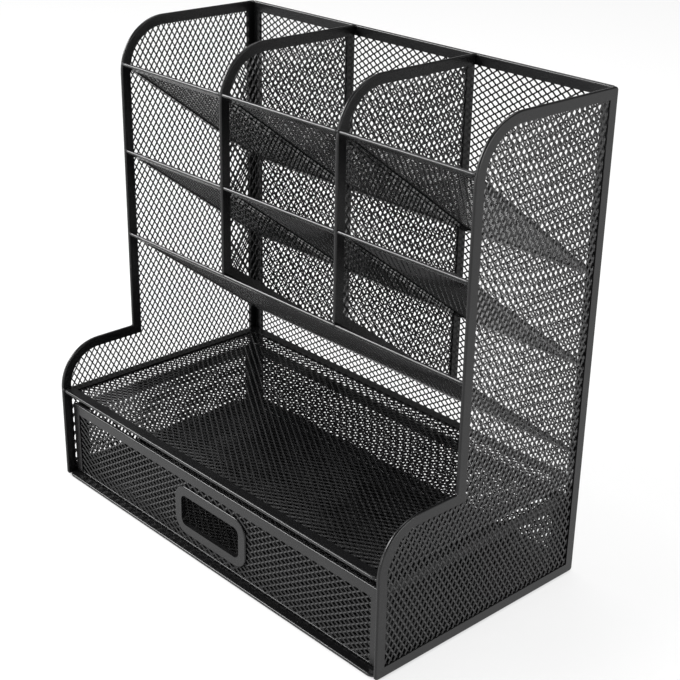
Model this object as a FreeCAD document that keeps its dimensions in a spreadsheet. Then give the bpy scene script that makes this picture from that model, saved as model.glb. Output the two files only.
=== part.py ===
"""Pen stand with drawer, a parametric document in millimetres.

Every panel is a sheet of expanded-metal mesh held in a folded steel hem. X runs across, Y from front to
back, Z up, and the origin is under the middle of the stand.
"""

import FreeCAD, Part
import math
import os

import Sketcher
from FreeCAD import Placement, Rotation, Vector

SIZES = {
    # Overall size
    "width": 225.0,
    "depth": 124.0,
    "height": 223.0,
    # Hems and mesh of the stand
    "hem_thickness": 1.6,
    "hem_width": 4.8,
    "hem_rounding": 0.7,
    "rounding_limit_share": 0.45,
    "mesh_thickness": 0.6,
    "mesh_grip": 2.4,
    "corner_radius": 1.6,
    # Diamonds of the mesh: openings, and the unbroken margin inside the hem
    "diamond_length": 24.0,
    "diamond_width": 15.0,
    "strand_width": 2.7,
    "mesh_margin": 0.8,
    # Side profile: a low tray in front of the tall column of pockets
    "tray_depth": 43.0,
    "post_height": 47.8,
    "cheek_radius": 22.0,
    "crown_radius": 25.0,
    # Pockets: the lower shelf stands clear of the deck, and the upper bar hangs below the top
    "shelf_fall": 60.0,
    "lower_shelf_clearance": 11.7,
    "upper_bar_drop": 19.4,
    # Deck and bottom
    "deck_height": 47.9,
    "deck_hem_width": 5.0,
    "deck_corner_radius": 3.0,
    "bottom_corner_radius": 4.0,
    # Drawer: its clearances inside the stand, on each side
    "drawer_gap": 0.3,
    "drawer_recess": 4.2,
    "drawer_back_gap": 2.4,
    "drawer_headroom": 6.6,
    "drawer_front_gap": 1.5,
    "drawer_body_gap": 2.5,
    "drawer_hem_width": 5.0,
    # Handle ring in the drawer front
    "handle_width": 51.0,
    "handle_height": 25.0,
    "handle_radius": 8.0,
    "handle_strip": 4.8,
    "handle_thickness": 2.4,
    "handle_rise": 17.2,
    # One overrun serves every open-ended cut
    "cut_overrun": 1.0,
}

# Places worked out from the sizes, as expressions on the sheet
FRONT = "(-Sizes.depth / 2)"
BACK = "(Sizes.depth / 2)"
BACK_FACE = "(Sizes.depth / 2 - Sizes.hem_thickness)"
COLUMN_FRONT = "(Sizes.tray_depth - Sizes.depth / 2)"
COLUMN_DEPTH = "(Sizes.depth - Sizes.tray_depth - Sizes.hem_thickness)"
INNER = "(Sizes.width / 2 - Sizes.hem_thickness)"
HALF_HEM = "(Sizes.hem_thickness / 2)"
CHEEK_TOP = "(Sizes.post_height + Sizes.cheek_radius)"
DIVIDER_OFFSET = "(Sizes.width / 3 / 2)"
LOWER_BAR = "(Sizes.deck_height + Sizes.lower_shelf_clearance + Sizes.shelf_fall)"
UPPER_BAR = "(Sizes.height - Sizes.upper_bar_drop)"

SLOPE = f"atan(Sizes.shelf_fall / {COLUMN_DEPTH})"
SHELF_LENGTH = f"(({COLUMN_DEPTH} - Sizes.hem_thickness * sin({SLOPE})) / cos({SLOPE}))"

DRAWER_UNDERSIDE = "(Sizes.hem_thickness + Sizes.drawer_gap)"
DRAWER_FLOOR_TOP = f"({DRAWER_UNDERSIDE} + Sizes.mesh_thickness)"
DRAWER_TOP = "(Sizes.deck_height - Sizes.hem_thickness - Sizes.drawer_headroom)"
DRAWER_FRONT = f"({FRONT} + Sizes.drawer_recess)"
DRAWER_BACK = f"({BACK_FACE} - Sizes.drawer_back_gap)"
SHEET_INSET = "(Sizes.hem_thickness / 2 - Sizes.mesh_thickness / 2)"

HEM_SHEET = "(Sizes.hem_width - Sizes.mesh_grip)"
DECK_SHEET = "(Sizes.deck_hem_width - Sizes.mesh_grip)"
DRAWER_SHEET = "(Sizes.drawer_hem_width - Sizes.mesh_grip)"

document = FreeCAD.newDocument("PenStand")
sheet = document.addObject("Spreadsheet::Sheet", "Sizes")
for row, (alias, number) in enumerate(SIZES.items(), start=1):
    sheet.set(f"A{row}", alias)
    sheet.set(f"B{row}", str(number))
    sheet.setAlias(f"B{row}", alias)
document.recompute()


def measure(expression):
    """The number that a sheet expression gives."""
    return float(sheet.evalExpression(expression))


# Outlines. Each is a list of corners (across, up, radius or None) in sheet expressions, counter-clockwise,
# and only outward corners between two square sides are rounded.


def rounded(radius, inset):
    """A corner radius moved inward, or None where the inset is wider than the corner."""
    moved = f"({radius} - {inset})"
    return moved if measure(moved) > 0 else None


def rectangle(left, right, low, high, inset="0", low_radius="0", high_radius="0"):
    """A rectangle moved inward by the inset, with the radii of its low and high corners."""
    low_round = rounded(low_radius, inset)
    high_round = rounded(high_radius, inset)
    return [
        (f"{left} + {inset}", f"{low} + {inset}", low_round),
        (f"{right} - {inset}", f"{low} + {inset}", low_round),
        (f"{right} - {inset}", f"{high} - {inset}", high_round),
        (f"{left} + {inset}", f"{high} - {inset}", high_round),
    ]


def open_rectangle(left, right, low, high, inset):
    """A rectangle moved inward on the left, right and top, that keeps its low side."""
    return [
        (f"{left} + {inset}", low, None),
        (f"{right} - {inset}", low, None),
        (f"{right} - {inset}", f"{high} - {inset}", None),
        (f"{left} + {inset}", f"{high} - {inset}", None),
    ]


def side_profile(inset="0"):
    """The side panel: low cheek in front, tall column behind."""
    corner = rounded("Sizes.corner_radius", inset)
    return [
        (f"{FRONT} + {inset}", inset, corner),
        (f"{BACK} - {inset}", inset, corner),
        (f"{BACK} - {inset}", f"Sizes.height - {inset}", corner),
        (f"{COLUMN_FRONT} + {inset}", f"Sizes.height - {inset}", rounded("Sizes.crown_radius", inset)),
        (f"{COLUMN_FRONT} + {inset}", f"{CHEEK_TOP} - {inset}", None),
        (f"{FRONT} + {inset}", f"{CHEEK_TOP} - {inset}", rounded("Sizes.cheek_radius", inset)),
    ]


def divider_profile(inset="0"):
    """The divider: its sloping foot stands on the lower shelf."""
    foot = f"({LOWER_BAR} + Sizes.hem_thickness * sin({SLOPE}) * tan({SLOPE}) + {inset} / cos({SLOPE}))"
    front_foot = f"({foot} - {inset} * tan({SLOPE}))"
    back_foot = f"({foot} - ({COLUMN_DEPTH} - {inset}) * tan({SLOPE}))"
    return [
        (f"{COLUMN_FRONT} + {inset}", front_foot, None),
        (f"{BACK_FACE} - {inset}", back_foot, None),
        (f"{BACK_FACE} - {inset}", f"Sizes.height - {inset}", None),
        (f"{COLUMN_FRONT} + {inset}", f"Sizes.height - {inset}", rounded("Sizes.crown_radius", inset)),
    ]


# Sketches and features


def new_sketch(body, name, role):
    """A sketch on one of the body's own origin planes."""
    plane = next(item for item in body.Origin.OriginFeatures if item.Role == role)
    sketch = body.newObject("Sketcher::SketchObject", name)
    sketch.AttachmentSupport = [(plane, "")]
    sketch.MapMode = "FlatFace"
    return sketch


def toward(start, end):
    """The unit step from one point to another."""
    return (end - start).normalize()


def signed(base, step, radius):
    """An expression moved by the radius the way that a unit step points, along one axis."""
    if round(step) == 0:
        return base
    return f"{base} + {radius}" if step > 0 else f"{base} - {radius}"


def add_bound(sketch, kind, place, expression):
    """Add a dimension and bind it to its expression."""
    index = sketch.addConstraint(Sketcher.Constraint(kind, *place, measure(expression)))
    sketch.setExpression(f"Constraints[{index}]", expression)


def draw_loop(sketch, corners):
    """Draw a closed outline, every vertex and radius bound to the sheet."""
    points = [Vector(measure(across), measure(up), 0) for across, up, _ in corners]
    pieces = []
    joints = []
    for index, (across, up, radius) in enumerate(corners):
        corner = points[index]
        before = toward(corner, points[index - 1])
        after = toward(corner, points[(index + 1) % len(points)])
        if radius is None:
            joints.append([(corner, across, up)])
            continue
        size = measure(radius)
        joints.append([
            (corner + before * size, signed(across, before.x, radius), signed(up, before.y, radius)),
            (corner + after * size, signed(across, after.x, radius), signed(up, after.y, radius)),
        ])
    for index, (_, _, radius) in enumerate(corners):
        start = joints[index][0]
        end = joints[index][-1]
        if radius is not None:
            size = measure(radius)
            center = start[0] + end[0] - points[index]
            first = math.atan2(start[0].y - center.y, start[0].x - center.x)
            last = math.atan2(end[0].y - center.y, end[0].x - center.x)
            circle = Part.Circle(center, Vector(0, 0, 1), size)
            arc = sketch.addGeometry(Part.ArcOfCircle(circle, first, last), False)
            add_bound(sketch, "Radius", (arc,), radius)
            pieces.append((arc, start))
        following = joints[(index + 1) % len(joints)][0]
        line = sketch.addGeometry(Part.LineSegment(end[0], following[0]), False)
        pieces.append((line, end))
    for index, (piece, (_, across, up)) in enumerate(pieces):
        following = pieces[(index + 1) % len(pieces)][0]
        sketch.addConstraint(Sketcher.Constraint("Coincident", piece, 2, following, 1))
        add_bound(sketch, "DistanceX", (-1, 1, piece, 1), across)
        add_bound(sketch, "DistanceY", (-1, 1, piece, 1), up)


def pad(body, name, role, corners, thickness):
    """A plate of even thickness about the sketch plane."""
    sketch = new_sketch(body, f"{name}_outline", role)
    draw_loop(sketch, corners)
    feature = body.newObject("PartDesign::Pad", f"{name}_plate")
    feature.Profile = sketch
    feature.SideType = "Symmetric"
    feature.setExpression("Length", thickness)
    return feature


def pocket(body, name, role, loops, depth=None):
    """Cut loops through the plate, or only to a depth about its mid-plane."""
    sketch = new_sketch(body, f"{name}_outline", role)
    for corners in loops:
        draw_loop(sketch, corners)
    feature = body.newObject("PartDesign::Pocket", name)
    feature.Profile = sketch
    feature.SideType = "Symmetric"
    if depth is None:
        feature.Type = "ThroughAll"
    else:
        feature.setExpression("Length", depth)
    return feature


def round_edges(body, name, plate, thickness):
    """Round the outer edges of the plate, as a rolled hem is, within half its thickness."""
    document.recompute()
    feature = body.newObject("PartDesign::Fillet", f"{name}_rolled_edge")
    feature.Base = (plate, [""])
    feature.UseAllEdges = True
    feature.setExpression("Radius", f"min(Sizes.hem_rounding; {thickness} * Sizes.rounding_limit_share)")
    return feature


def new_body(label, move=("0", "0", "0")):
    """A body, placed by expressions on the sheet."""
    body = document.addObject("PartDesign::Body", label)
    body.Label = label
    for axis, expression in zip("xyz", move):
        body.setExpression(f"Placement.Base.{axis}", expression)
    return body


def hem(label, role, outer, window, slot, move):
    """A folded steel hem: a plate with a window, and a slot about its mid-plane for the mesh edge."""
    body = new_body(label, move)
    plate = pad(body, label, role, outer, "Sizes.hem_thickness")
    round_edges(body, label, plate, "Sizes.hem_thickness")
    pocket(body, f"{label}_window", role, [window])
    pocket(body, f"{label}_slot", role, [slot], "Sizes.mesh_thickness")
    return body


# Mesh sheets


def flat_wire(corners):
    """The wire of an outline, drawn flat in the XY plane."""
    scratch = document.addObject("Sketcher::SketchObject", "scratch_outline")
    draw_loop(scratch, corners)
    edges = [curve.toShape() for curve in scratch.Geometry]
    document.removeObject(scratch.Name)
    return Part.Wire(Part.sortEdges(edges)[0])


def diamonds(box, upright):
    """Faces of the diamond openings over a box, the long way across or upright."""
    along = measure("Sizes.diamond_length / 2")
    over = measure("Sizes.diamond_width / 2")
    strand = measure("Sizes.strand_width")
    open_share = 1 - strand * math.hypot(along, over) / (2 * along * over)
    half_across, half_up = (over, along) if upright else (along, over)
    columns = math.ceil(box.XLength / half_across / 2) + 1
    rows = math.ceil(box.YLength / half_up / 2) + 1
    corner_steps = [(1, 0), (0, 1), (-1, 0), (0, -1), (1, 0)]
    faces = []
    for column in range(-columns, columns + 1):
        for row in range(-rows, rows + 1):
            if (column + row) % 2:
                continue
            center = box.Center + Vector(column * half_across, row * half_up, 0)
            reach = [
                center + Vector(step_x * half_across * open_share, step_y * half_up * open_share, 0)
                for step_x, step_y in corner_steps
            ]
            faces.append(Part.Face(Part.makePolygon(reach)))
    return faces


def mesh_plate(corners, upright, keep_clear=None):
    """A plate of mesh about the XY plane, its openings cut off at an unbroken margin."""
    margin = measure("Sizes.mesh_margin")
    thickness = measure("Sizes.mesh_thickness")
    smallest = margin * margin
    outline = flat_wire(corners)
    field = Part.Face(outline.makeOffset2D(-margin))
    wires = [outline]
    if keep_clear is not None:
        ring = flat_wire(keep_clear)
        field = field.cut(Part.Face(ring.makeOffset2D(margin)))
        wires.append(ring)
    openings = field.common(Part.Compound(diamonds(outline.BoundBox, upright)))
    wires.extend(face.OuterWire for face in openings.Faces if face.Area > smallest)
    plate = Part.makeFace(wires, "Part::FaceMakerBullseye")
    plate.translate(Vector(0, 0, -thickness / 2))
    return plate.extrude(Vector(0, 0, thickness))


def mesh(label, corners, upright, placement, keep_clear=None):
    """A mesh sheet in its own node."""
    feature = document.addObject("Part::Feature", label)
    feature.Label = label
    feature.Shape = mesh_plate(corners, upright, keep_clear)
    feature.Placement = placement
    return feature


def place(expressions, rotation):
    """A placement from three sheet expressions and a rotation."""
    return Placement(Vector(*(measure(expression) for expression in expressions)), rotation)


# The turns that bring a flat outline into the plane of its panel
LEVEL = Rotation()
FACING_FRONT = Rotation(Vector(1, 0, 0), 90)
FACING_SIDE = Rotation(Vector(1, 1, 1), 120)
TURNS = {"XY_Plane": LEVEL, "XZ_Plane": FACING_FRONT, "YZ_Plane": FACING_SIDE}


def panel(name, role, profile, move, hem_width, sheet_inset, upright):
    """A panel: its hem and its mesh, from one profile at three insets."""
    frame = hem(f"{name}_frame", role, profile("0"), profile(hem_width), profile(sheet_inset), move)
    sheet_node = mesh(f"{name}_mesh", profile(sheet_inset), upright, place(move, TURNS[role]))
    return [frame, sheet_node]


def column_sheet(inset):
    """The part of the side's mesh beside the column, down to the bottom hem."""
    crown = rounded("Sizes.crown_radius", inset)
    return [
        (f"{COLUMN_FRONT} + {inset}", inset, None),
        (f"{BACK} - {inset}", inset, None),
        (f"{BACK} - {inset}", f"Sizes.height - {inset}", None),
        (f"{COLUMN_FRONT} + {inset}", f"Sizes.height - {inset}", crown),
    ]


def cheek_sheet(inset):
    """The part of the side's mesh beside the tray, in front of the column's line."""
    return [
        (f"{FRONT} + {inset}", inset, None),
        (f"{COLUMN_FRONT} + {inset}", inset, None),
        (f"{COLUMN_FRONT} + {inset}", f"{CHEEK_TOP} - {inset}", None),
        (f"{FRONT} + {inset}", f"{CHEEK_TOP} - {inset}", rounded("Sizes.cheek_radius", inset)),
    ]


def sides():
    """Left and right side panels. Their mesh is parted on the column's line, so that each part is convex."""
    nodes = []
    for name, sign in (("left", "-"), ("right", "+")):
        move = (f"{sign}(Sizes.width / 2 - {HALF_HEM})", "0", "0")
        windows = [side_profile(inset) for inset in ("0", "Sizes.hem_width", HEM_SHEET)]
        nodes.append(hem(f"{name}_side_frame", "YZ_Plane", *windows, move))
        for part, corners in (("side", column_sheet(HEM_SHEET)), ("cheek", cheek_sheet(HEM_SHEET))):
            nodes.append(mesh(f"{name}_{part}_mesh", corners, True, place(move, FACING_SIDE)))
    return nodes


def back():
    """Back panel, between the sides."""
    def profile(inset):
        return rectangle(f"-{INNER}", INNER, "0", "Sizes.height", inset)
    move = ("0", f"{BACK} - {HALF_HEM}", "0")
    return panel("back", "XZ_Plane", profile, move, "Sizes.hem_width", HEM_SHEET, False)


def bottom():
    """Bottom panel under the drawer."""
    def profile(inset):
        return rectangle(f"-{INNER}", INNER, FRONT, BACK_FACE, inset, "Sizes.bottom_corner_radius")
    move = ("0", "0", HALF_HEM)
    return panel("bottom", "XY_Plane", profile, move, "Sizes.hem_width", HEM_SHEET, False)


def deck():
    """Deck over the drawer."""
    def profile(inset):
        return rectangle(f"-{INNER}", INNER, FRONT, BACK_FACE, inset, "Sizes.deck_corner_radius")
    move = ("0", "0", f"Sizes.deck_height - {HALF_HEM}")
    return panel("deck", "XY_Plane", profile, move, "Sizes.deck_hem_width", DECK_SHEET, False)


def dividers():
    """The two upright partitions of the column."""
    nodes = []
    for name, sign in (("left_divider", "-"), ("right_divider", "+")):
        move = (f"{sign}{DIVIDER_OFFSET}", "0", "0")
        nodes += panel(name, "YZ_Plane", divider_profile, move, "Sizes.hem_width", HEM_SHEET, True)
    return nodes


def shelf(name, left, right, bar_height):
    """A sloping shelf: its upper front edge is the bar, its back edge meets the back panel."""
    def profile(inset):
        return rectangle(left, right, "0", SHELF_LENGTH, inset)
    move = (
        "0",
        f"{COLUMN_FRONT} + {HALF_HEM} * sin({SLOPE})",
        f"{bar_height} - {HALF_HEM} * cos({SLOPE})",
    )
    frame, sheet_node = panel(name, "XY_Plane", profile, move, "Sizes.hem_width", HEM_SHEET, False)
    tilt = Rotation(Vector(1, 0, 0), -measure(SLOPE))
    frame.Placement = Placement(Vector(), tilt)
    frame.setExpression("Placement.Rotation.Angle", f"-{SLOPE}")
    sheet_node.Placement = place(move, tilt)
    return [frame, sheet_node]


def shelves():
    """Upper and middle shelves in each pocket, and the lower shelf across all three."""
    near = f"({DIVIDER_OFFSET} - {HALF_HEM})"
    far = f"({DIVIDER_OFFSET} + {HALF_HEM})"
    columns = {
        "left": (f"-{INNER}", f"-{far}"),
        "center": (f"-{near}", near),
        "right": (far, INNER),
    }
    nodes = []
    for level, bar in (("upper", UPPER_BAR), ("middle", f"(({UPPER_BAR} + {LOWER_BAR}) / 2)")):
        for column, (left, right) in columns.items():
            nodes += shelf(f"{level}_shelf_{column}", left, right, bar)
    nodes += shelf("lower_shelf", f"-{INNER}", INNER, LOWER_BAR)
    return nodes


# Drawer


def drawer_wall(name, role, left, right, move):
    """The hem of a drawer wall: edging on three sides, its feet on the drawer floor."""
    low = f"({DRAWER_FLOOR_TOP} - Sizes.cut_overrun)"
    outer = rectangle(left, right, DRAWER_FLOOR_TOP, DRAWER_TOP)
    window = open_rectangle(left, right, low, DRAWER_TOP, "Sizes.drawer_hem_width")
    slot = open_rectangle(left, right, low, DRAWER_TOP, DRAWER_SHEET)
    return hem(name, role, outer, window, slot, move)


def handle_loop(inset):
    """The outline of the handle ring at an inset."""
    rise = f"({DRAWER_UNDERSIDE} + Sizes.handle_rise)"
    half_width = "(Sizes.handle_width / 2)"
    half_height = "(Sizes.handle_height / 2)"
    return rectangle(
        f"-{half_width}", half_width, f"({rise} - {half_height})", f"({rise} + {half_height})",
        inset, "Sizes.handle_radius", "Sizes.handle_radius",
    )


def handle_ring():
    """The ring around the hand hole: it holds the mesh edge in a slot round its outside."""
    label = "drawer_handle_ring"
    body = new_body(label, ("0", f"{DRAWER_FRONT} + {HALF_HEM}", "0"))
    plate = pad(body, label, "XZ_Plane", handle_loop("0"), "Sizes.handle_thickness")
    round_edges(body, label, plate, "Sizes.handle_thickness")
    pocket(body, f"{label}_hole", "XZ_Plane", [handle_loop("Sizes.handle_strip")])
    slot = [handle_loop("(-Sizes.cut_overrun)"), handle_loop("Sizes.mesh_grip")]
    pocket(body, f"{label}_slot", "XZ_Plane", slot, "Sizes.mesh_thickness")
    return body


def drawer_front():
    """Drawer front: hem, mesh and handle ring."""
    half = f"({INNER} - Sizes.drawer_front_gap)"
    move = ("0", f"{DRAWER_FRONT} + {HALF_HEM}", "0")
    frame = drawer_wall("drawer_front_hem", "XZ_Plane", f"-{half}", half, move)
    corners = open_rectangle(f"-{half}", half, DRAWER_UNDERSIDE, DRAWER_TOP, DRAWER_SHEET)
    sheet_node = mesh(
        "drawer_front_mesh", corners, False, place(move, FACING_FRONT), handle_loop("Sizes.mesh_grip")
    )
    return [frame, sheet_node, handle_ring()]


def drawer_body():
    """Drawer floor, and its left, right and back walls, each a mesh in a hem that stands on the floor."""
    half = f"({INNER} - Sizes.drawer_body_gap)"
    floor_edge = f"({half} - {SHEET_INSET})"
    floor_front = f"({DRAWER_FRONT} + {HALF_HEM} + Sizes.mesh_thickness / 2)"
    floor_back = f"({DRAWER_BACK} - {SHEET_INSET})"
    floor_corners = rectangle(f"-{floor_edge}", floor_edge, floor_front, floor_back)
    floor_move = ("0", "0", f"{DRAWER_UNDERSIDE} + Sizes.mesh_thickness / 2")
    nodes = [mesh("drawer_floor_mesh", floor_corners, False, place(floor_move, LEVEL))]
    side_front = f"({DRAWER_FRONT} + Sizes.hem_thickness)"
    side_back = f"({DRAWER_BACK} - Sizes.hem_thickness)"
    walls = {
        "left": ("YZ_Plane", side_front, side_back, (f"-({half} - {HALF_HEM})", "0", "0")),
        "right": ("YZ_Plane", side_front, side_back, (f"({half} - {HALF_HEM})", "0", "0")),
        "back": ("XZ_Plane", f"-{half}", half, ("0", f"({DRAWER_BACK} - {HALF_HEM})", "0")),
    }
    for name, (role, left, right, move) in walls.items():
        nodes.append(drawer_wall(f"drawer_{name}_hem", role, left, right, move))
        corners = open_rectangle(left, right, DRAWER_FLOOR_TOP, DRAWER_TOP, DRAWER_SHEET)
        upright = role == "YZ_Plane"
        nodes.append(mesh(f"drawer_{name}_mesh", corners, upright, place(move, TURNS[role])))
    return nodes


def check(nodes):
    """Stop if any object of the document failed, or a node has no sound solid."""
    for item in document.Objects:
        if "Invalid" in item.State or "Error" in item.State:
            raise RuntimeError(f"{item.Label} failed: {item.State}")
    for node in nodes:
        if node.Shape.isNull() or not node.Shape.isValid() or not node.Shape.Solids:
            raise RuntimeError(f"{node.Label} has no sound solid")


nodes = [
    *sides(), *back(), *bottom(), *deck(), *dividers(), *shelves(), *drawer_front(), *drawer_body(),
]
document.recompute()
check(nodes)
os.makedirs("parts", exist_ok=True)
for node in nodes:
    node.Shape.exportStep(f"parts/{node.Label}.step")
    print(f"{node.Label}: {len(node.Shape.Solids)} solid, {node.Shape.Volume:.0f} cubic mm")
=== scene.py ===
# Pen stand with drawer: true-size mesh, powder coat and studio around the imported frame
import math

import bpy
from mathutils import Matrix, Vector


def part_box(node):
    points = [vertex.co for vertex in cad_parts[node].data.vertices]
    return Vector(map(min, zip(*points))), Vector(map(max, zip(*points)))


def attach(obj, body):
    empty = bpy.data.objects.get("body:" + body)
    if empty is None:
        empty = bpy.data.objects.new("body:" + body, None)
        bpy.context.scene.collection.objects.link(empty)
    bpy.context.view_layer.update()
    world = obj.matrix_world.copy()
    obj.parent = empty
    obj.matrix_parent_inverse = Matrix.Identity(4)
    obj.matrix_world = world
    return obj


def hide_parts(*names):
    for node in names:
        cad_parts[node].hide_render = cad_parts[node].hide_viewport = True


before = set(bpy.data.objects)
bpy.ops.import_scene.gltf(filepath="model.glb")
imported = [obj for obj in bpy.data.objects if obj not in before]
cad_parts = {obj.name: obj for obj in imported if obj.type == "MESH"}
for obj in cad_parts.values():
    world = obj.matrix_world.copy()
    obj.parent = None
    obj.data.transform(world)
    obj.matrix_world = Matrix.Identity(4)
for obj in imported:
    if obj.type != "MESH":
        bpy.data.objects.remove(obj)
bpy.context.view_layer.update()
print("frame loaded:", len(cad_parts), "nodes")

# Sizes in metres. The profile repeats the side panel's real shape.
profile = {
    "cheekTop": 0.0698,
    "cheekRadius": 0.022,
    "crownRadius": 0.025,
    "columnFront": -0.019,
    "hemWidth": 0.0048,
    "hemGrip": 0.0024,
    "shelfFall": 0.060,
    "shelfRun": 0.0794,
}
hemSeat = profile["hemWidth"] - profile["hemGrip"]  # from the hem's outer edge to the edge of the mesh in it

# Raised expanded metal: the diamond's long way runs along the sheet's X, and the strands stand tilted.
# The columns and rows are enough for the largest panel.
meshStock = {
    "longPitch": 0.005,
    "shortPitch": 0.003125,
    "strandWidth": 0.00059,
    "strandThickness": 0.0004,
    "bondLength": 0.0003,
    "bondCorners": 6,
    "lift": 0.0002,
    "columns": 46,
    "rows": 74,
    "mergeWithin": 0.00001,
}


# Selection and edit helpers
def selectOnly(piece):
    bpy.ops.object.select_all(action="DESELECT")
    piece.select_set(True)
    bpy.context.view_layer.objects.active = piece


def pick(piece, kind, test):
    # selects the vertices, edges or faces that pass the test, and goes into edit mode
    selectOnly(piece)
    bpy.ops.object.mode_set(mode="EDIT")
    bpy.ops.mesh.select_mode(type=kind)
    bpy.ops.mesh.select_all(action="DESELECT")
    bpy.ops.object.mode_set(mode="OBJECT")
    items = {"VERT": piece.data.vertices, "EDGE": piece.data.edges, "FACE": piece.data.polygons}[kind]
    for item in items:
        item.select = bool(test(item))
    bpy.ops.object.mode_set(mode="EDIT")


def applyModifier(piece, kind, **values):
    selectOnly(piece)
    bpy.ops.object.modifier_add(type=kind)
    modifier = piece.modifiers[-1]
    for key, value in values.items():
        setattr(modifier, key, value)
    bpy.ops.object.modifier_apply(modifier=modifier.name)


def repeat(piece, count, step):
    applyModifier(
        piece, "ARRAY", count=count, use_relative_offset=False,
        use_constant_offset=True, constant_offset_displace=step,
    )


def edgeMiddle(piece, edge):
    ends = [piece.data.vertices[index].co for index in edge.vertices]
    return (ends[0] + ends[1]) / 2


# Where the CAD nodes are
def nodeCorners(node):
    return [Vector(corner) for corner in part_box(node)]


def nodeMiddle(node):
    low, high = nodeCorners(node)
    return (low + high) / 2


def nodeSize(node):
    low, high = nodeCorners(node)
    return high - low


# Materials
def newMaterial(name):
    material = bpy.data.materials.new(name)
    material.use_nodes = True
    tree = material.node_tree
    return material, tree, tree.nodes["Principled BSDF"]


def addNode(tree, kind, **values):
    node = tree.nodes.new(kind)
    for key, value in values.items():
        if key in node.inputs:
            node.inputs[key].default_value = value
        else:
            setattr(node, key, value)
    return node


coatGrain = {"peelDetail": 3.0, "peelRoughness": 0.6, "cloudDetail": 4.0, "cloudRoughness": 0.55}
hemLook = {
    "peelScale": 2600.0, "cloudScale": 90.0, "bump": 0.25, "bumpDepth": 0.00003,
    "roughLow": 0.22, "roughHigh": 0.30, "gloss": 0.38,
    "dark": (0.005, 0.005, 0.0053, 1.0), "light": (0.009, 0.009, 0.0094, 1.0),
}
meshLook = {
    "peelScale": 4200.0, "cloudScale": 160.0, "bump": 0.2, "bumpDepth": 0.00002,
    "roughLow": 0.16, "roughHigh": 0.24, "gloss": 0.5,
    "dark": (0.006, 0.006, 0.0063, 1.0), "light": (0.010, 0.010, 0.0105, 1.0),
}


def powderCoat(name, look):
    # fine orange peel, with cloudy changes in gloss and shade
    material, tree, shader = newMaterial(name)
    place = addNode(tree, "ShaderNodeTexCoord")
    peel = addNode(
        tree, "ShaderNodeTexNoise", Scale=look["peelScale"],
        Detail=coatGrain["peelDetail"], Roughness=coatGrain["peelRoughness"],
    )
    cloud = addNode(
        tree, "ShaderNodeTexNoise", Scale=look["cloudScale"],
        Detail=coatGrain["cloudDetail"], Roughness=coatGrain["cloudRoughness"],
    )
    gloss = addNode(tree, "ShaderNodeMapRange")
    gloss.inputs["To Min"].default_value = look["roughLow"]
    gloss.inputs["To Max"].default_value = look["roughHigh"]
    shade = addNode(tree, "ShaderNodeMix", data_type="RGBA")
    shade.inputs["A"].default_value = look["dark"]
    shade.inputs["B"].default_value = look["light"]
    bump = addNode(tree, "ShaderNodeBump", Strength=look["bump"], Distance=look["bumpDepth"])
    for noise in (peel, cloud):
        tree.links.new(place.outputs["Object"], noise.inputs["Vector"])
    tree.links.new(cloud.outputs["Fac"], gloss.inputs["Value"])
    tree.links.new(gloss.outputs["Result"], shader.inputs["Roughness"])
    tree.links.new(cloud.outputs["Fac"], shade.inputs["Factor"])
    tree.links.new(shade.outputs["Result"], shader.inputs["Base Color"])
    tree.links.new(peel.outputs["Fac"], bump.inputs["Height"])
    tree.links.new(bump.outputs["Normal"], shader.inputs["Normal"])
    shader.inputs["Specular IOR Level"].default_value = look["gloss"]
    return material


hemCoat = powderCoat("hemPowderCoat", hemLook)
meshCoat = powderCoat("meshPowderCoat", meshLook)
print("materials ready")


def finishPiece(piece, body, coat, replaced=()):
    piece.data.materials.clear()
    piece.data.materials.append(coat)
    if replaced:
        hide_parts(*replaced)
    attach(piece, body)


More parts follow.
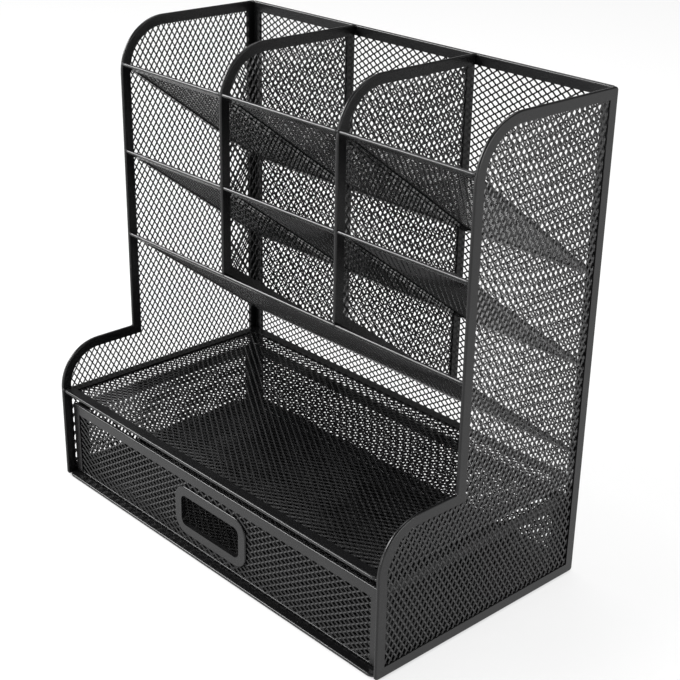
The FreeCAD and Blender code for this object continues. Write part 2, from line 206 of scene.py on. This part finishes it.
# Expanded metal: one bond with the two strands that leave its upper edges, repeated into a stock sheet
def makeStock():
    halfLong = meshStock["longPitch"] / 2
    halfShort = meshStock["shortPitch"] / 2
    slant = math.atan2(halfShort, halfLong)
    reach = meshStock["strandWidth"] / 2 / math.sin(slant)
    rise = meshStock["strandWidth"] / 2 / math.cos(slant)
    halfRise = rise / 2
    bond = meshStock["bondLength"] / 2
    lift = meshStock["lift"]
    corners = meshStock["bondCorners"]
    tall = rise / math.sin(2 * math.pi / corners)

    # the bond is a flat hexagon with a tip at each end
    bpy.ops.object.select_all(action="DESELECT")
    bpy.ops.mesh.primitive_circle_add(vertices=corners, radius=1, fill_type="NGON")
    stock = bpy.context.object
    stock.name = "meshStockSheet"
    bpy.ops.object.mode_set(mode="EDIT")
    bpy.ops.transform.rotate(value=math.pi / 2, orient_axis="Z", center_override=(0, 0, 0))
    bpy.ops.transform.resize(value=(bond + reach, tall, 1), center_override=(0, 0, 0))
    bpy.ops.object.mode_set(mode="OBJECT")
    pick(stock, "VERT", lambda vertex: abs(vertex.co.y) > halfRise)
    shoulder = bond / ((bond + reach) / 2)
    bpy.ops.transform.resize(value=(shoulder, 1, 1), center_override=(0, 0, 0))
    bpy.ops.object.mode_set(mode="OBJECT")

    # its upper shoulders are lifted and its lower ones lowered, which tilts the strands
    for side in (1, -1):
        pick(stock, "VERT", lambda vertex: vertex.co.y * side > halfRise)
        bpy.ops.transform.translate(value=(0, 0, side * lift))
        bpy.ops.object.mode_set(mode="OBJECT")

    # a strand runs from each slanted upper edge to the next bond
    for side in (1, -1):
        def slantedEdge(edge):
            middle = edgeMiddle(stock, edge)
            onBond = abs(middle.x) < bond + reach and 0 < middle.y < rise - meshStock["mergeWithin"]
            return onBond and middle.x * side > 0
        pick(stock, "EDGE", slantedEdge)
        step = (side * (halfLong - 2 * bond - reach), halfShort - rise, -lift)
        bpy.ops.mesh.extrude_region_move(TRANSFORM_OT_translate={"value": step})
        bpy.ops.object.mode_set(mode="OBJECT")

    repeat(stock, 2, (halfLong, halfShort, 0))
    repeat(stock, meshStock["rows"], (0, meshStock["shortPitch"], 0))
    repeat(stock, meshStock["columns"], (meshStock["longPitch"], 0, 0))
    pick(stock, "FACE", lambda face: True)
    bpy.ops.mesh.remove_doubles(threshold=meshStock["mergeWithin"])
    bpy.ops.mesh.normals_make_consistent(inside=False)
    across = (meshStock["columns"] - 1) // 2 * meshStock["longPitch"]
    up = (meshStock["rows"] - 1) // 2 * meshStock["shortPitch"]
    bpy.ops.transform.translate(value=(-across, -up, 0))
    bpy.ops.object.mode_set(mode="OBJECT")
    areas = [face.area for face in stock.data.polygons]
    stock["strandArea"] = (min(areas) + max(areas)) / 2  # a larger face is a strand, a smaller one a bond
    return stock


stock = makeStock()
print("mesh stock sheet:", len(stock.data.polygons), "faces")


def cutSheet(name, inside, placement, body, nodes):
    # cuts a panel out of the stock, thickens it and sets it in its hem:
    # a strand stays where its middle is inside, and a bond where a strand holds it
    sheet = stock.copy()
    sheet.data = stock.data.copy()
    sheet.name = name
    bpy.context.collection.objects.link(sheet)
    strandArea = stock["strandArea"]
    held = set()
    for face in sheet.data.polygons:
        if face.area > strandArea and inside(face.center.x, face.center.y):
            held.update(face.edge_keys)

    def goes(face):
        if face.area > strandArea:
            return not inside(face.center.x, face.center.y)
        return not any(key in held for key in face.edge_keys)

    pick(sheet, "FACE", goes)
    bpy.ops.mesh.delete(type="FACE")
    bpy.ops.object.mode_set(mode="OBJECT")
    applyModifier(sheet, "SOLIDIFY", thickness=meshStock["strandThickness"], offset=0)
    sheet.matrix_world = placement
    selectOnly(sheet)
    bpy.ops.object.transform_apply(location=True, rotation=True, scale=True)
    finishPiece(sheet, body, meshCoat, nodes)


def insideRectangle(width, height):
    return lambda x, y: abs(x) < width / 2 and abs(y) < height / 2


def outsideCorner(y, z, front, top, radius):
    # whether a point is cut away by the round corner between a panel's front and top
    reachY = front + radius - y
    reachZ = z - (top - radius)
    return reachY > 0 and reachZ > 0 and math.hypot(reachY, reachZ) > radius


def axes(right, up, middle):
    # a placement that brings the sheet's X to right and its Y to up
    right = Vector(right)
    up = Vector(up)
    out = right.cross(up)
    turn = Matrix((right, up, out)).transposed().to_4x4()
    return Matrix.Translation(middle) @ turn


# Each panel's own X (the diamond's long way) and Y, turned so that its strands tilt as they do in the photo
panelTurns = {
    "front": ((-1, 0, 0), (0, 0, -1)),
    "back": ((1, 0, 0), (0, 0, 1)),
    "level": ((1, 0, 0), (0, 1, 0)),
    "upright": ((0, 0, -1), (0, 1, 0)),
}


def flatPanel(node, turn, body):
    right, up = panelTurns[turn]
    size = nodeSize(node)
    width = abs(size.dot(Vector(right)))
    height = abs(size.dot(Vector(up)))
    placement = axes(right, up, nodeMiddle(node))
    cutSheet(f"{node}_true", insideRectangle(width, height), placement, body, [node])


def sidePanel(side):
    # the side profile, moved in to the hem's seat; one sheet for the column and the cheek
    right, up = panelTurns["upright"]
    nodes = [f"{side}_side_mesh", f"{side}_cheek_mesh"]
    boxes = [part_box(node) for node in nodes]
    low = Vector(min(box[0][axis] for box in boxes) for axis in range(3))
    high = Vector(max(box[1][axis] for box in boxes) for axis in range(3))
    middle = (low + high) / 2
    front = profile["columnFront"] + hemSeat
    cheek = profile["cheekTop"] - hemSeat
    crownRadius = profile["crownRadius"] - hemSeat
    cheekRadius = profile["cheekRadius"] - hemSeat

    def inside(x, y):
        placeY = middle.y + y
        placeZ = middle.z - x
        if not (low.y < placeY < high.y and low.z < placeZ < high.z):
            return False
        if placeZ > cheek:
            return placeY > front and not outsideCorner(placeY, placeZ, front, high.z, crownRadius)
        return placeY > front or not outsideCorner(placeY, placeZ, low.y, cheek, cheekRadius)

    cutSheet(f"{nodes[0]}_true", inside, axes(right, up, middle), "stand", nodes)


def dividerPanel(node):
    # the divider: crown in front, foot along the lower shelf
    right, up = panelTurns["upright"]
    middle = nodeMiddle(node)
    low, high = nodeCorners(node)
    crownRadius = profile["crownRadius"] - hemSeat
    slope = profile["shelfFall"] / profile["shelfRun"]

    def inside(x, y):
        placeY = middle.y + y
        placeZ = middle.z - x
        if not (low.y < placeY < high.y and placeZ < high.z):
            return False
        if placeZ < low.z + slope * (high.y - placeY):
            return False
        return not outsideCorner(placeY, placeZ, low.y, high.z, crownRadius)

    cutSheet(f"{node}_true", inside, axes(right, up, middle), "stand", [node])


def shelfPanel(node):
    slope = math.atan2(profile["shelfFall"], profile["shelfRun"])
    size = nodeSize(node)
    length = size.y / math.cos(slope)
    down = (0, math.cos(slope), -math.sin(slope))
    placement = axes(down, (-1, 0, 0), nodeMiddle(node))
    cutSheet(f"{node}_true", insideRectangle(length, size.x), placement, "stand", [node])


for side in ("left", "right"):
    sidePanel(side)
    dividerPanel(f"{side}_divider_mesh")
flatPanel("back_mesh", "back", "stand")
flatPanel("deck_mesh", "level", "stand")
flatPanel("bottom_mesh", "level", "stand")
shelfPanel("lower_shelf_mesh")
for level in ("upper", "middle"):
    for column in ("left", "center", "right"):
        shelfPanel(f"{level}_shelf_{column}_mesh")
print("stand mesh cut")

handle = {"width": 0.051, "height": 0.025, "grip": 0.0024}


def drawerFrontPanel(node):
    # the drawer's front, left open inside the handle's ring
    right, up = panelTurns["front"]
    size = nodeSize(node)
    middle = nodeMiddle(node)
    ringMiddle = nodeMiddle("drawer_handle_ring")
    halfWidth = handle["width"] / 2 - handle["grip"]
    halfHeight = handle["height"] / 2 - handle["grip"]

    def inside(x, y):
        if abs(x) > size.x / 2 or abs(y) > size.z / 2:
            return False
        fromRingX = abs(middle.x - x - ringMiddle.x)
        fromRingZ = abs(middle.z - y - ringMiddle.z)
        return fromRingX > halfWidth or fromRingZ > halfHeight

    cutSheet(f"{node}_true", inside, axes(right, up, middle), "drawer", [node])


drawerFrontPanel("drawer_front_mesh")
flatPanel("drawer_back_mesh", "back", "drawer")
flatPanel("drawer_floor_mesh", "level", "drawer")
for side in ("left", "right"):
    flatPanel(f"drawer_{side}_mesh", "upright", "drawer")
bpy.data.objects.remove(stock)
print("drawer mesh cut")

# The hems and the handle's ring keep their CAD shape and take the coat
for name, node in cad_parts.items():
    if name.endswith(("_frame", "_hem", "_ring")):
        node.data.materials.clear()
        node.data.materials.append(hemCoat)
print("hems coated")


# Weld beads where the hems meet
weld = {
    "radius": 0.0011, "segments": 12, "rings": 8, "flatten": 0.7,
    "columns": (-0.1109, -0.0375, 0.0375, 0.1109),
    "lip": 0.0006,
}


def weldBeads():
    # a row along each shelf's front edge, the deck's two front corners, and a row along the back's top
    columns = weld["columns"]
    lip = weld["lip"]
    rows = [(node, columns, lip) for node in (
        "upper_shelf_left_frame", "middle_shelf_left_frame", "lower_shelf_frame",
    )]
    rows += [("deck_frame", (columns[0], columns[-1]), lip), ("back_frame", columns, 0)]
    places = []
    for node, columnsHere, setBack in rows:
        low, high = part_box(node)
        places += [(x, low[1] + setBack, high[2] - lip) for x in columnsHere]
    bpy.ops.object.select_all(action="DESELECT")
    bpy.ops.mesh.primitive_uv_sphere_add(
        segments=weld["segments"], ring_count=weld["rings"], radius=weld["radius"], location=(0, 0, 0),
    )
    bead = bpy.context.object
    bead.name = "stand_weld_beads"
    bpy.ops.object.mode_set(mode="EDIT")
    bpy.ops.mesh.select_all(action="SELECT")
    bpy.ops.transform.resize(value=(1, weld["flatten"], weld["flatten"]), center_override=(0, 0, 0))
    bpy.ops.transform.translate(value=places[0])
    for last, place in zip(places, places[1:]):
        bpy.ops.mesh.duplicate_move(TRANSFORM_OT_translate={"value": Vector(place) - Vector(last)})
    bpy.ops.object.mode_set(mode="OBJECT")
    bpy.ops.object.shade_smooth()
    finishPiece(bead, "stand", hemCoat)


weldBeads()
print("weld beads set")

# Thin round rods along the drawer's bottom edges stand for its mesh folded over there
fold = {"radius": 0.0004, "segments": 12, "smoothAngle": 40.0}


def drawerFold():
    radius = fold["radius"]
    front = nodeMiddle("drawer_front_mesh")
    back = nodeMiddle("drawer_back_mesh")
    left = nodeMiddle("drawer_left_mesh")
    right = nodeMiddle("drawer_right_mesh")
    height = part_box("drawer_floor_mesh")[0][2] + radius
    middleY = (front.y + back.y) / 2
    depth = back.y - front.y
    across = (0, math.pi / 2, 0)
    along = (math.pi / 2, 0, 0)
    runs = [
        ((front.x, front.y, height), across, nodeSize("drawer_front_mesh").x),
        ((back.x, back.y, height), across, right.x - left.x),
        ((left.x, middleY, height), along, depth),
        ((right.x, middleY, height), along, depth),
    ]
    bpy.ops.object.select_all(action="DESELECT")
    rods = []
    for place, turn, length in runs:
        bpy.ops.mesh.primitive_cylinder_add(
            vertices=fold["segments"], radius=radius, depth=length, location=place, rotation=turn,
        )
        bpy.ops.object.shade_smooth_by_angle(angle=math.radians(fold["smoothAngle"]))
        rods.append(bpy.context.object)
    for rod in rods:
        rod.select_set(True)
    bpy.ops.object.join()
    piece = bpy.context.object
    piece.name = "drawer_bottom_fold"
    bpy.ops.object.transform_apply(location=True, rotation=True, scale=True)
    finishPiece(piece, "drawer", hemCoat)


drawerFold()
print("drawer fold set")

# Studio: white floor with painted shade under the stand, a room that is bright at the horizon and dim above,
# and four soft boxes
studio = {
    "floorSize": 12.0, "floorColor": (0.93, 0.93, 0.93, 1.0), "floorRoughness": 0.9, "floorGloss": 0.1,
    "floorGlow": 1.1, "floorGlowShare": 0.75,
    # floorPaintedShade: the floor's colour under the stand, painted dark as painted shade
    "footprint": (0.109, 0.0585, 0.0), "shadowFade": 0.005, "floorPaintedShade": (0.12, 0.12, 0.12, 1.0),
    "skyColor": (1.0, 1.0, 1.0, 1.0), "horizonStrength": 1.0, "ceilingStrength": 0.2,
    "horizonTop": 0.08, "ceilingStart": 0.3,
    "aim": (0.0, 0.0, 0.11),
}
softBoxes = {
    "softBoxOverhead": {
        "toward": (-0.28, 0.15, 0.95), "distance": 1.3, "width": 1.0, "height": 0.8, "radiance": 2.9,
    },
    "softBoxLeft": {
        "toward": (-0.66, -0.57, 0.49), "distance": 1.4, "width": 0.8, "height": 0.5, "radiance": 14.0,
    },
    "softBoxRight": {
        "toward": (0.97, 0.20, 0.12), "distance": 1.4, "width": 0.8, "height": 0.5, "radiance": 4.6,
    },
    "softBoxFront": {
        "toward": (-0.14, -0.98, 0.12), "distance": 1.4, "width": 0.7, "height": 0.5, "radiance": 3.5,
    },
}
wattsPerRadiance = 4.0  # for each square metre of an area lamp


def makeFloor():
    # seen by the camera or in a reflection, the floor glows to white outside the stand's footprint,
    # and keeps the object's shadow; under the footprint its colour is painted dark, as painted shade
    bpy.ops.object.select_all(action="DESELECT")
    bpy.ops.mesh.primitive_plane_add(size=studio["floorSize"])
    floor = bpy.context.object
    floor.name = "studioFloor"
    material, tree, shader = newMaterial("studioFloorWhite")
    shader.inputs["Roughness"].default_value = studio["floorRoughness"]
    shader.inputs["Specular IOR Level"].default_value = studio["floorGloss"]

    # clear is 0 under the stand and 1 a little way outside its footprint; under the stand the floor's colour
    # is painted dark as painted shade, and the glow is off
    place = addNode(tree, "ShaderNodeTexCoord")
    aside = addNode(tree, "ShaderNodeVectorMath", operation="ABSOLUTE")
    beyond = addNode(tree, "ShaderNodeVectorMath", operation="SUBTRACT")
    beyond.inputs[1].default_value = studio["footprint"]
    outside = addNode(tree, "ShaderNodeVectorMath", operation="MAXIMUM")
    reach = addNode(tree, "ShaderNodeVectorMath", operation="LENGTH")
    clear = addNode(tree, "ShaderNodeMapRange", interpolation_type="SMOOTHSTEP")
    clear.inputs["From Max"].default_value = studio["shadowFade"]
    tree.links.new(place.outputs["Object"], aside.inputs[0])
    tree.links.new(aside.outputs["Vector"], beyond.inputs[0])
    tree.links.new(beyond.outputs["Vector"], outside.inputs[0])
    tree.links.new(outside.outputs["Vector"], reach.inputs[0])
    tree.links.new(reach.outputs["Value"], clear.inputs["Value"])
    # painted shade: the floor's base colour goes dark under the stand's footprint
    paintedShadeMix = addNode(tree, "ShaderNodeMix", data_type="RGBA")
    paintedShadeMix.inputs["A"].default_value = studio["floorPaintedShade"]
    paintedShadeMix.inputs["B"].default_value = studio["floorColor"]
    tree.links.new(clear.outputs["Result"], paintedShadeMix.inputs["Factor"])
    tree.links.new(paintedShadeMix.outputs["Result"], shader.inputs["Base Color"])

    # the glow shows only to rays from the camera, a gloss or a glass
    path = addNode(tree, "ShaderNodeLightPath")
    cameraOrGloss = addNode(tree, "ShaderNodeMath", operation="MAXIMUM")
    seen = addNode(tree, "ShaderNodeMath", operation="MAXIMUM")
    seenClear = addNode(tree, "ShaderNodeMath", operation="MULTIPLY")
    glowShare = addNode(tree, "ShaderNodeMath", operation="MULTIPLY")
    glowShare.inputs[1].default_value = studio["floorGlowShare"]
    glow = addNode(tree, "ShaderNodeEmission", Strength=studio["floorGlow"])
    blend = addNode(tree, "ShaderNodeMixShader")
    tree.links.new(path.outputs["Is Camera Ray"], cameraOrGloss.inputs[0])
    tree.links.new(path.outputs["Is Glossy Ray"], cameraOrGloss.inputs[1])
    tree.links.new(cameraOrGloss.outputs["Value"], seen.inputs[0])
    tree.links.new(path.outputs["Is Transmission Ray"], seen.inputs[1])
    tree.links.new(seen.outputs["Value"], seenClear.inputs[0])
    tree.links.new(clear.outputs["Result"], seenClear.inputs[1])
    tree.links.new(seenClear.outputs["Value"], glowShare.inputs[0])
    tree.links.new(glowShare.outputs["Value"], blend.inputs[0])
    tree.links.new(shader.outputs["BSDF"], blend.inputs[1])
    tree.links.new(glow.outputs["Emission"], blend.inputs[2])
    tree.links.new(blend.outputs["Shader"], tree.nodes["Material Output"].inputs["Surface"])
    floor.data.materials.append(material)


def makeWorld():
    # bright at the horizon, as a white room is, and dim above
    world = bpy.data.worlds.new("studioWorld")
    bpy.context.scene.world = world
    world.use_nodes = True
    tree = world.node_tree
    direction = addNode(tree, "ShaderNodeTexCoord")
    parts = addNode(tree, "ShaderNodeSeparateXYZ")
    fade = addNode(tree, "ShaderNodeMapRange", interpolation_type="SMOOTHSTEP")
    fade.inputs["From Min"].default_value = studio["horizonTop"]
    fade.inputs["From Max"].default_value = studio["ceilingStart"]
    fade.inputs["To Min"].default_value = studio["horizonStrength"]
    fade.inputs["To Max"].default_value = studio["ceilingStrength"]
    sky = tree.nodes["Background"]
    sky.inputs["Color"].default_value = studio["skyColor"]
    tree.links.new(direction.outputs["Generated"], parts.inputs["Vector"])
    tree.links.new(parts.outputs["Z"], fade.inputs["Value"])
    tree.links.new(fade.outputs["Result"], sky.inputs["Strength"])


def makeSoftBox(name, box):
    toward = Vector(box["toward"]).normalized()
    bpy.ops.object.select_all(action="DESELECT")
    bpy.ops.object.light_add(type="AREA", location=Vector(studio["aim"]) + toward * box["distance"])
    lamp = bpy.context.object
    lamp.name = name
    lamp.data.shape = "RECTANGLE"
    lamp.data.size = box["width"]
    lamp.data.size_y = box["height"]
    lamp.data.energy = wattsPerRadiance * box["width"] * box["height"] * box["radiance"]
    lamp.rotation_euler = (-toward).to_track_quat("-Z", "Y").to_euler()
    lamp.visible_camera = False


makeFloor()
makeWorld()
for name, box in softBoxes.items():
    makeSoftBox(name, box)

# Camera as the photograph was taken
cameraView = {
    "place": (0.4413, -0.3923, 0.3569), "azimuth": 46.938, "elevation": 23.983, "roll": 1.105,
    "lens": 75.42, "sensor": 36.0, "clipStart": 0.01,
}


def makeCamera():
    azimuth = math.radians(cameraView["azimuth"])
    elevation = math.radians(cameraView["elevation"])
    roll = math.radians(cameraView["roll"])
    ahead = Vector((
        -math.sin(azimuth) * math.cos(elevation),
        math.cos(azimuth) * math.cos(elevation),
        -math.sin(elevation),
    ))
    level = Vector((math.cos(azimuth), math.sin(azimuth), 0))
    upward = level.cross(ahead)
    right = level * math.cos(roll) + upward * math.sin(roll)
    up = upward * math.cos(roll) - level * math.sin(roll)
    turn = Matrix((right, up, -ahead)).transposed().to_4x4()
    bpy.ops.object.camera_add()
    camera = bpy.context.object
    camera.matrix_world = Matrix.Translation(cameraView["place"]) @ turn
    camera.data.lens = cameraView["lens"]
    camera.data.sensor_width = cameraView["sensor"]
    camera.data.clip_start = cameraView["clipStart"]
    bpy.context.scene.camera = camera


makeCamera()
bpy.context.scene.view_settings.view_transform = "Standard"
print("studio and camera ready")
